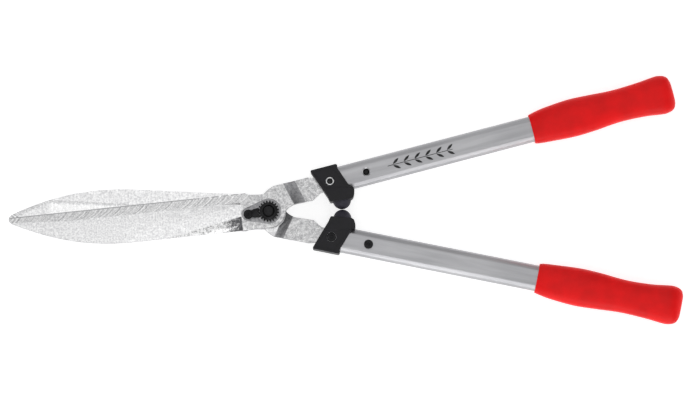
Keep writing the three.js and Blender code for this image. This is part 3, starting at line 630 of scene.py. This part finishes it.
def tube_section(bm, s, grow=0.0):
    """The tube's cross-section as a face at one station along the handle."""
    half = TUBE_WIDTH / 2 + grow
    high = TUBE_HEIGHT / 2 + grow
    side = TUBE_SIDE / 2 + grow * 0.45
    flat = TUBE_FLAT / 2 + grow * 0.45
    corner = [(half, side), (flat, high), (-flat, high), (-half, side)]
    corner += [(-half, -side), (-flat, -high), (flat, -high), (half, -side)]
    face = bm.faces.new([bm.verts.new((s, t, z)) for t, z in corner])
    sides = [vert for vert in face.verts if abs(vert.co.z) < high - 0.0001]
    flats = [vert for vert in face.verts if vert not in sides]
    for verts, reach in ((sides, SIDE_CORNER), (flats, FLAT_CORNER)):
        rounded(bm, verts, max(reach + grow, 0.0003))
    return bm.faces[:]


for side_name, half_frame in halves.items():
    tube = bmesh.new()
    moved(tube, tube_section(tube, TUBE_START), (TUBE_END - TUBE_START, 0, 0))
    bmesh.ops.recalc_face_normals(tube, faces=tube.faces)
    bore = bmesh.new()
    bore_length = TUBE_END - TUBE_START + 2 * OVERCUT
    moved(bore, tube_section(bore, TUBE_START - OVERCUT, -TUBE_WALL), (bore_length, 0, 0))
    bmesh.ops.recalc_face_normals(bore, faces=bore.faces)
    tube = combined(tube, bore)
    drill = bmesh.new()
    for s in (FRONT_SCREW, REAR_SCREW):
        turned(drill, [(0, -DRILL_REACH), (SCREW_HOLE, -DRILL_REACH), (SCREW_HOLE, 0), (0, 0)], s)
    sight = [
        (0, HOLE_START),
        (SIGHT_HOLE, HOLE_START),
        (SIGHT_HOLE, TUBE_HEIGHT / 2 - 0.0007),
        (SIGHT_RIM, TUBE_HEIGHT / 2 + 0.0002),
        (SIGHT_RIM, DRILL_REACH),
        (0, DRILL_REACH),
    ]
    turned(drill, sight, REAR_SCREW)
    sleeve = [
        (0, HOLE_START),
        (SLEEVE_HOLE, HOLE_START),
        (SLEEVE_HOLE, DRILL_REACH),
        (0, DRILL_REACH),
    ]
    turned(drill, sleeve, FRONT_SCREW)
    tube = combined(tube, drill)
    tube.transform(half_frame @ along_handle)
    tube_finish = anodised(f"{side_name}_anodised_aluminium")
    fitted(f"drawn_{side_name}_tube", tube, f"{side_name}_tube", tube_finish, edge=0.00012)


# Printed sprig. A plain leaf pattern screen-printed in black ink on the flat of the right tube,
# two hundredths of a millimetre thick.
SPRIG_START = 0.124
SPRIG_STEP = 0.0105
SPRIG_LEAVES = 6
LEAF_LENGTH = 0.0078
LEAF_WIDTH = 0.0024
LEAF_ANGLE = radians(34)
LEAF_ROOT = 0.0006
STEM_WIDTH = 0.0006
INK = 0.00002


def ink(name):
    """Matt black ink, a little worn."""
    made, tree, shader = finish(name, 0, 0.3)
    place = add(tree, "TexCoord").node.outputs["Object"]
    worn = add(tree, "TexNoise", place, Scale=900, Detail=4)
    join(
        tree,
        shader,
        Base_Color=shades(tree, worn, (0.012, 0.012, 0.013), (0.05, 0.05, 0.052), 0.4, 0.8),
        Roughness=between(tree, worn, 0.45, 0.6),
    )
    return made


sprig = bmesh.new()
for i in range(SPRIG_LEAVES):
    for way in (1, -1):
        half = LEAF_LENGTH / 2
        leaf = bmesh.ops.create_circle(sprig, cap_ends=True, segments=20, radius=half)["verts"]
        for vert in leaf:
            share = vert.co.x / half
            vert.co.y = (1 if vert.co.y > 0 else -1) * LEAF_WIDTH / 2 * (1 - share * share)
        bmesh.ops.remove_doubles(sprig, verts=leaf, dist=1e-6)
        leaf = [vert for vert in leaf if vert.is_valid]
        bmesh.ops.translate(sprig, verts=leaf, vec=(half, 0, 0))
        bmesh.ops.rotate(sprig, verts=leaf, matrix=Matrix.Rotation(way * LEAF_ANGLE, 3, "Z"))
        root = (SPRIG_START + i * SPRIG_STEP, way * LEAF_ROOT, 0)
        bmesh.ops.translate(sprig, verts=leaf, vec=root)
stem = bmesh.ops.create_grid(sprig, x_segments=1, y_segments=1, size=0.5)["verts"]
bmesh.ops.scale(sprig, verts=stem, vec=(SPRIG_LEAVES * SPRIG_STEP, STEM_WIDTH, 1))
stem_middle = SPRIG_START + (SPRIG_LEAVES - 1) * SPRIG_STEP / 2
bmesh.ops.translate(sprig, verts=stem, vec=(stem_middle, 0, 0))
moved(sprig, sprig.faces[:], (0, 0, INK))
bmesh.ops.translate(sprig, verts=sprig.verts, vec=(0, 0, TUBE_HEIGHT / 2 + INK / 2))
sprig.transform(halves["right"] @ along_handle)
bmesh.ops.recalc_face_normals(sprig, faces=sprig.faces)
sprig_mesh = bpy.data.meshes.new("printed_sprig")
sprig.to_mesh(sprig_mesh)
sprig.free()
sprig_mesh.materials.append(ink("black_ink"))
printed_sprig = bpy.data.objects.new("printed_sprig", sprig_mesh)
scene.collection.objects.link(printed_sprig)
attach(printed_sprig, "right_half")


# Collars. A glass-filled nylon moulding caps the front end of each tube. It is cut off at a slant,
# has a bead along its rear top corner, a shallow panel round the screw and a lug for the buffer.
COLLAR_SLANT = tan(radians(19.5))
COLLAR_FRONT = 0.0521
COLLAR_REAR = 0.0762
COLLAR_WALL = 0.0019
COLLAR_BEAD = 0.0013
COLLAR_FACE = 0.0097
FIT = 0.0003
LUG_WALL = 0.0024
LUG_BOTTOM = 0.0067
BUFFER_X = 0.0690
BUFFER_RADIUS = 0.0085
BUFFER_LENGTH = 0.0114
PANEL_DEPTH = 0.0005
PANEL_MARGIN = 0.0022
PANEL_ROUND = 0.001
LUG_ROUND = 0.001
RIM_RADIUS = 0.0006
TAIL_THICKNESS = 0.005
HEAD_HOLE = 0.00455
FLANGE_HOLE = 0.00405
HOLE_REACH = 0.02
WELL_DEPTH = 0.0133


def nylon(name):
    """Moulded black nylon with a fine spark-eroded grain."""
    made, tree, shader = finish(name, 0, 0.3)
    place = add(tree, "TexCoord").node.outputs["Object"]
    grain = add(tree, "TexNoise", place, Scale=1500, Detail=3)
    flow = add(tree, "TexNoise", place, Scale=130, Detail=4)
    bump = add(tree, "Bump", Strength=0.3, Distance=0.0001, Height=grain)
    join(
        tree,
        shader,
        Base_Color=shades(tree, flow, (0.006, 0.006, 0.0075), (0.014, 0.0135, 0.017)),
        Roughness=between(tree, flow, 0.42, 0.56),
        Normal=bump,
    )
    return made


def slab(outline, half_height):
    """A flat moulding with a rounded rim, from corners of (x, y, rounding)."""
    bm = bmesh.new()
    corners = [bm.verts.new((x, y, RIM_RADIUS - half_height)) for x, y, rounding in outline]
    bm.faces.new(corners)
    for corner, (x, y, rounding) in zip(corners, outline):
        if rounding:
            rounded(bm, [corner], rounding)
    moved(bm, bm.faces[:], (0, 0, 2 * (half_height - RIM_RADIUS)))
    bmesh.ops.recalc_face_normals(bm, faces=bm.faces)
    for face in [face for face in bm.faces if abs(face.normal.z) > 0.99]:
        for before, after in ((0, pi / 6), (pi / 6, pi / 3), (pi / 3, pi / 2)):
            bmesh.ops.inset_region(
                bm,
                faces=[face],
                thickness=RIM_RADIUS * (cos(before) - cos(after)),
                depth=RIM_RADIUS * (sin(after) - sin(before)),
                use_even_offset=True,
            )
    return bm


nylon_finish = nylon("black_nylon")
collar_top = TUBE_WIDTH / 2 + FIT + COLLAR_WALL
collar_low = -TUBE_WIDTH / 2 - LUG_WALL
TAIL_HALF = TUBE_WIDTH / 2 - TUBE_WALL - 2 * FIT - 0.0022
into_lug = Matrix.Translation((BUFFER_X, 0, 0)) @ Matrix.Rotation(-pi / 2, 4, "X")
for side_name, half_frame in halves.items():
    edge_low = COLLAR_FRONT - COLLAR_SLANT * collar_low
    edge_top = COLLAR_FRONT - COLLAR_SLANT * collar_top
    length = COLLAR_REAR - COLLAR_FRONT
    shoulder = COLLAR_WALL + COLLAR_BEAD
    clamp = [
        (edge_top, collar_top, 0.0016),
        (edge_low, collar_low, 0.0012),
        (edge_low + length, collar_low, 0),
        (edge_top + length + COLLAR_SLANT * shoulder, collar_top - shoulder, 0.0008),
        (edge_top + length + COLLAR_BEAD + 0.001, collar_top - COLLAR_WALL, 0.0008),
        (edge_top + length + COLLAR_BEAD, collar_top, 0.0009),
    ]
    collar = slab(clamp, COLLAR_FACE)
    panel = [
        (edge_top + PANEL_MARGIN, collar_top - PANEL_MARGIN),
        (edge_low + PANEL_MARGIN, collar_low + PANEL_MARGIN),
        (edge_low + length - PANEL_MARGIN, collar_low + PANEL_MARGIN),
        (edge_top + length - PANEL_MARGIN, collar_top - shoulder - 0.0008),
        (edge_top + length - PANEL_MARGIN, collar_top - PANEL_MARGIN),
    ]
    for side in (1, -1):
        sunk = bmesh.new()
        corners = [sunk.verts.new((x, y, side * (COLLAR_FACE - PANEL_DEPTH))) for x, y in panel]
        sunk.faces.new(corners)
        rounded(sunk, corners, PANEL_ROUND)
        moved(sunk, sunk.faces[:], (0, 0, side * 0.002))
        bmesh.ops.recalc_face_normals(sunk, faces=sunk.faces)
        collar = combined(collar, sunk)
    collar.transform(along_handle)
    lug_top = BUFFER_X * tan(HANDLE_ANGLE) + LUG_WALL
    lug_front = BUFFER_X - BUFFER_RADIUS - LUG_WALL
    lug_rear = BUFFER_X + BUFFER_RADIUS + LUG_WALL
    lug = [
        (lug_front, LUG_BOTTOM, LUG_ROUND),
        (lug_rear - 0.0018, LUG_BOTTOM + 0.0024, LUG_ROUND),
        (lug_rear, LUG_BOTTOM + 0.004, LUG_ROUND),
        (lug_rear + 0.0011, LUG_BOTTOM + 0.0082, LUG_ROUND),
        (lug_rear + 0.0011, LUG_BOTTOM + 0.012, LUG_ROUND),
        (lug_rear - 0.004, lug_top + 0.002, 0),
        (lug_front - 0.0064, lug_top + 0.002, 0),
    ]
    collar = combined(collar, slab(lug, COLLAR_FACE - 0.00005), "UNION")
    socket = bmesh.new()
    moved(socket, tube_section(socket, TUBE_START - FIT, FIT), (0.08, 0, 0))
    bmesh.ops.recalc_face_normals(socket, faces=socket.faces)
    socket.transform(along_handle)
    collar = combined(collar, socket)
    slot = bmesh.new()
    slot_size = (TUBE_START, 2 * (TAIL_HALF + FIT), TAIL_THICKNESS + 2 * FIT)
    bmesh.ops.create_cube(slot, size=1)
    bmesh.ops.scale(slot, verts=slot.verts, vec=slot_size)
    bmesh.ops.translate(slot, verts=slot.verts, vec=(TUBE_START / 2 + 0.0005, 0, 0))
    slot.transform(along_handle)
    collar = combined(collar, slot)
    holes = bmesh.new()
    lower = [(0, -HOLE_REACH), (HEAD_HOLE, -HOLE_REACH), (HEAD_HOLE, 0), (0, 0)]
    turned(holes, lower, FRONT_SCREW)
    upper = [(0, HOLE_START), (FLANGE_HOLE, HOLE_START), (FLANGE_HOLE, HOLE_REACH), (0, HOLE_REACH)]
    turned(holes, upper, FRONT_SCREW)
    holes.transform(along_handle)
    collar = combined(collar, holes)
    well = bmesh.new()
    wide = BUFFER_RADIUS + FIT
    turned(well, [(0, -OVERCUT), (wide, -OVERCUT), (wide, WELL_DEPTH), (0, WELL_DEPTH)], steps=40)
    well.transform(into_lug)
    collar = combined(collar, well)
    collar.transform(half_frame)
    fitted(f"moulded_{side_name}_collar", collar, f"{side_name}_collar", nylon_finish, edge=0)


# Buffers. A rubber plug with a domed nose sits in each lug; the two noses meet when the blades
# shut and take the shock. Compression-moulded, with a dull skin.
def rubber(name):
    """Black rubber with a bluish bloom."""
    made, tree, shader = finish(name, 0, 0.35)
    place = add(tree, "TexCoord").node.outputs["Object"]
    grain = add(tree, "TexNoise", place, Scale=900, Detail=4)
    bloom = add(tree, "TexNoise", place, Scale=110, Detail=5)
    bump = add(tree, "Bump", Strength=0.25, Distance=0.0001, Height=grain)
    join(
        tree,
        shader,
        Base_Color=shades(tree, bloom, (0.017, 0.016, 0.024), (0.038, 0.036, 0.053)),
        Roughness=between(tree, grain, 0.55, 0.72),
        Normal=bump,
    )
    return made


NOSE_GAP = 0.00015
NOSE_STEPS = 12
rubber_finish = rubber("black_rubber")
for side_name, half_frame in halves.items():
    profile = [(0, NOSE_GAP)]
    for i in range(1, NOSE_STEPS + 1):
        angle = i / NOSE_STEPS * pi / 2
        profile.append((BUFFER_RADIUS * sin(angle), NOSE_GAP + BUFFER_RADIUS * (1 - cos(angle))))
    profile += [(BUFFER_RADIUS, NOSE_GAP + BUFFER_LENGTH), (0, NOSE_GAP + BUFFER_LENGTH)]
    plug = bmesh.new()
    turned(plug, profile, steps=40)
    plug.transform(into_lug)
    plug.transform(half_frame)
    node = f"{side_name}_buffer"
    fitted(f"moulded_{node}", plug, node, rubber_finish, edge=0.0005, steps=3)


# Handle screws. Two low socket screws hold each tang in its tube, heads on the side away from the
# nuts; cold-headed steel, blackened.
SCREW_RADIUS = 0.0025
SCREW_HEAD = 0.00425
SCREW_HEAD_HEIGHT = 0.0022
SCREW_EASE = 0.0004
SCREW_SOCKET = 0.002
SCREW_SOCKET_DEPTH = 0.0014
REAR_SCREW_END = 0.0053
SEAT_GAP = 0.0001
for side_name, half_frame in halves.items():
    for place, s, end in (
        ("front", FRONT_SCREW, TUBE_HEIGHT / 2),
        ("rear", REAR_SCREW, REAR_SCREW_END),
    ):
        screw = bmesh.new()
        seat = -TUBE_HEIGHT / 2 - SEAT_GAP
        low = seat - SCREW_HEAD_HEIGHT
        profile = [
            (0, low),
            (SCREW_HEAD - SCREW_EASE, low),
            (SCREW_HEAD, low + SCREW_EASE),
            (SCREW_HEAD, seat),
            (SCREW_RADIUS, seat),
            (SCREW_RADIUS, end - SCREW_EASE),
            (SCREW_RADIUS - SCREW_EASE, end),
            (0, end),
        ]
        turned(screw, profile, s, steps=24)
        screw_socket = hexagon(s, 0, SCREW_SOCKET, low - OVERCUT, low + SCREW_SOCKET_DEPTH)
        screw = combined(screw, screw_socket)
        screw.transform(half_frame @ along_handle)
        node = f"{side_name}_{place}_screw"
        fitted(f"headed_{node}", screw, node, black_finish, edge=0.0001)


# Sleeve nuts. The front nut's bright flange shows as a ring in the collar, and the rear one sits
# inside the tube under its hole. Turned steel; the front one zinc plated, the rear one blackened.
SLEEVE_BORE = 0.00265
SLEEVE_RADIUS = 0.0032
SLEEVE_FLANGE = 0.00375
SLEEVE_LOW = 0.0028
for side_name, half_frame in halves.items():
    seat = TUBE_HEIGHT / 2 + SEAT_GAP
    front_nut = bmesh.new()
    profile = [
        (SLEEVE_BORE, SLEEVE_LOW),
        (SLEEVE_RADIUS, SLEEVE_LOW),
        (SLEEVE_RADIUS, seat),
        (SLEEVE_FLANGE, seat),
        (SLEEVE_FLANGE, COLLAR_FACE - 0.0003),
        (SLEEVE_FLANGE - 0.0003, COLLAR_FACE),
        (SLEEVE_BORE + 0.0003, COLLAR_FACE),
        (SLEEVE_BORE, COLLAR_FACE - 0.0005),
        (SLEEVE_BORE, SLEEVE_LOW),
    ]
    turned(front_nut, profile, FRONT_SCREW)
    front_nut.transform(half_frame @ along_handle)
    node = f"{side_name}_front_nut"
    fitted(f"turned_{node}", front_nut, node, zinc_finish, edge=0.0001)
    rear_nut = bmesh.new()
    high = TUBE_HEIGHT / 2 - TUBE_WALL - FIT
    profile = [
        (SLEEVE_BORE, SLEEVE_LOW),
        (SLEEVE_RADIUS, SLEEVE_LOW),
        (SLEEVE_RADIUS, high - 0.0002),
        (SLEEVE_RADIUS - 0.0002, high),
        (SLEEVE_BORE, high),
        (SLEEVE_BORE, SLEEVE_LOW),
    ]
    turned(rear_nut, profile, REAR_SCREW)
    rear_nut.transform(half_frame @ along_handle)
    node = f"{side_name}_rear_nut"
    fitted(f"turned_{node}", rear_nut, node, black_finish, edge=0)


# Packers. A hard plastic sleeve fills each tube round the tail of the tang, so that the tang
# can't rattle; it is hidden inside the tube once the screws are in.
packer_finish = nylon("packer_plastic")
for side_name in halves:
    packer = frame["nodes"][f"{side_name}_packer"]
    packer.data.materials.clear()
    packer.data.materials.append(packer_finish)


# Grips. Soft red vinyl dipped and moulded round the end of each tube: a flared lip, a palm swell,
# a waist and a wide butt that stops the hand. Satin skin with a fine grain.
GRIP_END = 0.3964
GRIP_LENGTH = 0.1374
GRIP_POWER = 2.5
GRIP_AROUND = 40
GRIP_RINGS = 60
RING_CROWDING = 1.35
# A share of the length, then how far the grip stands proud of the tube there on its outer side,
# its inner side and its two faces, in millimetres.
stations = [
    (0, 1.5, 1.7, 1.9),
    (0.025, 2.4, 2.6, 2.6),
    (0.1, 4.3, 3.5, 3.9),
    (0.28, 6.3, 5, 4.76),
    (0.42, 5.6, 4.4, 4.6),
    (0.6, 4.2, 2.5, 3.9),
    (0.78, 5.1, 3.4, 4.1),
    (0.91, 6.6, 5.8, 4.6),
    (0.945, 6, 5.5, 4.1),
    (0.972, 4.6, 4.3, 2.9),
    (0.99, 2.3, 2.1, 1.1),
    (1, -1.5, -1.5, -1.5),
]


def vinyl(name):
    """Soft red vinyl, a shade deeper in its clouds, with a leathery grain."""
    made, tree, shader = finish(name, 0, 0.2)
    place = add(tree, "TexCoord").node.outputs["Object"]
    grain = add(tree, "TexNoise", place, Scale=1100, Detail=4)
    pores = add(tree, "TexVoronoi", place, Scale=1300)
    cloud = add(tree, "TexNoise", place, Scale=45, Detail=5)
    relief = add(tree, "Math", grain, pores, operation="ADD")
    bump = add(tree, "Bump", Strength=0.22, Distance=0.00012, Height=relief)
    join(
        tree,
        shader,
        Base_Color=shades(tree, cloud, (0.76, 0.003, 0.004), (0.92, 0.005, 0.006), 0.35, 0.65),
        Roughness=between(tree, cloud, 0.4, 0.5),
        Normal=bump,
    )
    return made


def swell(along, column):
    """How far the grip stands proud at a share of its length: a smooth curve by its stations."""
    place = next(i for i in range(len(stations) - 1) if along <= stations[i + 1][0] + 1e-9)
    around = [stations[max(0, min(len(stations) - 1, place + k))] for k in (-1, 0, 1, 2)]
    step = around[2][0] - around[1][0]
    t = (along - around[1][0]) / step
    slopes = []
    for before, after in ((around[0], around[2]), (around[1], around[3])):
        slopes.append((after[column] - before[column]) / (after[0] - before[0]) * step)
    a, b = around[1][column], around[2][column]
    bend = (2 * t**3 - 3 * t**2 + 1) * a + (t**3 - 2 * t**2 + t) * slopes[0]
    return (bend + (3 * t**2 - 2 * t**3) * b + (t**3 - t**2) * slopes[1]) / MM


vinyl_finish = vinyl("red_vinyl")
for side_name, half_frame in halves.items():
    grip = bmesh.new()
    ring = bmesh.ops.create_circle(grip, segments=GRIP_AROUND, radius=1)["verts"]
    angles = [atan2(vert.co.y, vert.co.x) for vert in ring]
    edges = grip.edges[:]
    for i in range(GRIP_RINGS + 1):
        along = 1 - (1 - i / GRIP_RINGS) ** RING_CROWDING
        if i:
            extruded = bmesh.ops.extrude_edge_only(grip, edges=edges)["geom"]
            ring = [item for item in extruded if isinstance(item, bmesh.types.BMVert)]
            edges = [item for item in extruded if isinstance(item, bmesh.types.BMEdge)]
        high = TUBE_HEIGHT / 2 + swell(along, 3)
        for vert, angle in zip(ring, angles):
            out, up = cos(angle), sin(angle)
            wide = TUBE_WIDTH / 2 + swell(along, 1 if out > 0 else 2)
            t = wide * abs(out) ** (2 / GRIP_POWER) * (1 if out > 0 else -1)
            z = high * abs(up) ** (2 / GRIP_POWER) * (1 if up > 0 else -1)
            vert.co = (GRIP_END - GRIP_LENGTH * (1 - along), t, z)
    bmesh.ops.holes_fill(grip, edges=[edge for edge in grip.edges if edge.is_boundary])
    bmesh.ops.recalc_face_normals(grip, faces=grip.faces)
    hand_bore = bmesh.new()
    start = GRIP_END - GRIP_LENGTH - OVERCUT
    moved(hand_bore, tube_section(hand_bore, start, FIT), (TUBE_END + FIT - start, 0, 0))
    bmesh.ops.recalc_face_normals(hand_bore, faces=hand_bore.faces)
    grip = combined(grip, hand_bore)
    grip.transform(half_frame @ along_handle)
    node = f"{side_name}_grip"
    fitted(f"dipped_{node}", grip, node, vinyl_finish, edge=0.0004, steps=3, sharp=50)


# Table, light and camera. A pale table under an overhead softbox and a low strip light in front,
# in a room that is dim to the left and right; seen from almost straight above with a long lens.
TABLE_SIZE = 3.0
VIEW_CENTRE = Vector((0.0765, 0.004, contact))
VIEW_WIDTH = 0.6578
VIEW_DISTANCE = 3.2
VIEW_TILT = radians(5.5)
VIEW_ROLL = radians(-1.75)
FILM_WIDTH = 36

table = bmesh.new()
bmesh.ops.create_grid(table, x_segments=1, y_segments=1, size=TABLE_SIZE)
table_mesh = bpy.data.meshes.new("table")
table.to_mesh(table_mesh)
table.free()
table_top = bpy.data.objects.new("table", table_mesh)
scene.collection.objects.link(table_top)
table_finish = bpy.data.materials.new("pale_table")
table_finish.use_nodes = True
table_shader = table_finish.node_tree.nodes["Principled BSDF"]
table_shader.inputs["Base Color"].default_value = (0.6, 0.6, 0.6, 1)
table_shader.inputs["Roughness"].default_value = 0.9
table_shader.inputs["Specular IOR Level"].default_value = 0.1
table_shader.inputs["Emission Color"].default_value = (1, 1, 1, 1)
table_shader.inputs["Emission Strength"].default_value = 0.72
table_mesh.materials.append(table_finish)

world = bpy.data.worlds.new("studio")
world.use_nodes = True
scene.world = world
sky = world.node_tree
direction = add(sky, "SeparateXYZ", add(sky, "TexCoord").node.outputs["Generated"]).node.outputs
sideways = add(sky, "Math", direction["X"], direction["X"], operation="MULTIPLY")
dim_ends = add(sky, "MapRange", sideways, 0.01, 0.14, 1.2, 0.12)
far_ends = add(sky, "MapRange", sideways, 0.45, 0.8, 0.0, 1.5)
ends = add(sky, "Math", dim_ends, far_ends, operation="ADD")
bright_front = add(sky, "MapRange", direction["Y"], -1.0, 1.0, 1.15, 0.8)
brightness = add(sky, "Math", ends, bright_front, operation="MULTIPLY")
sky.nodes["Background"].inputs["Color"].default_value = (1, 1, 1, 1)
sky.links.new(brightness, sky.nodes["Background"].inputs["Strength"])

for name, place, width, length, power in (
    ("overhead", (0.05, 0.1, 1.5), 1.0, 1.9, 1.0),
    ("front_strip", (0.1, -1.3, 0.45), 1.8, 0.4, 5),
):
    lamp = bpy.data.lights.new(name, "AREA")
    lamp.shape = "RECTANGLE"
    lamp.size = width
    lamp.size_y = length
    lamp.energy = power
    softbox = bpy.data.objects.new(name, lamp)
    softbox.location = place
    aim = Vector((0.05, 0, 0)) - Vector(place)
    softbox.rotation_euler = aim.to_track_quat("-Z", "Y").to_euler()
    softbox.visible_camera = False
    scene.collection.objects.link(softbox)

lens = bpy.data.cameras.new("camera")
lens.sensor_width = FILM_WIDTH
lens.lens = FILM_WIDTH * VIEW_DISTANCE / VIEW_WIDTH
lens.clip_end = 20
camera = bpy.data.objects.new("camera", lens)
camera.rotation_euler = (VIEW_TILT, 0, VIEW_ROLL)
looking = camera.rotation_euler.to_matrix() @ Vector((0, 0, -1))
camera.location = VIEW_CENTRE - looking * VIEW_DISTANCE
scene.collection.objects.link(camera)
scene.camera = camera
scene.view_settings.view_transform = "Standard"
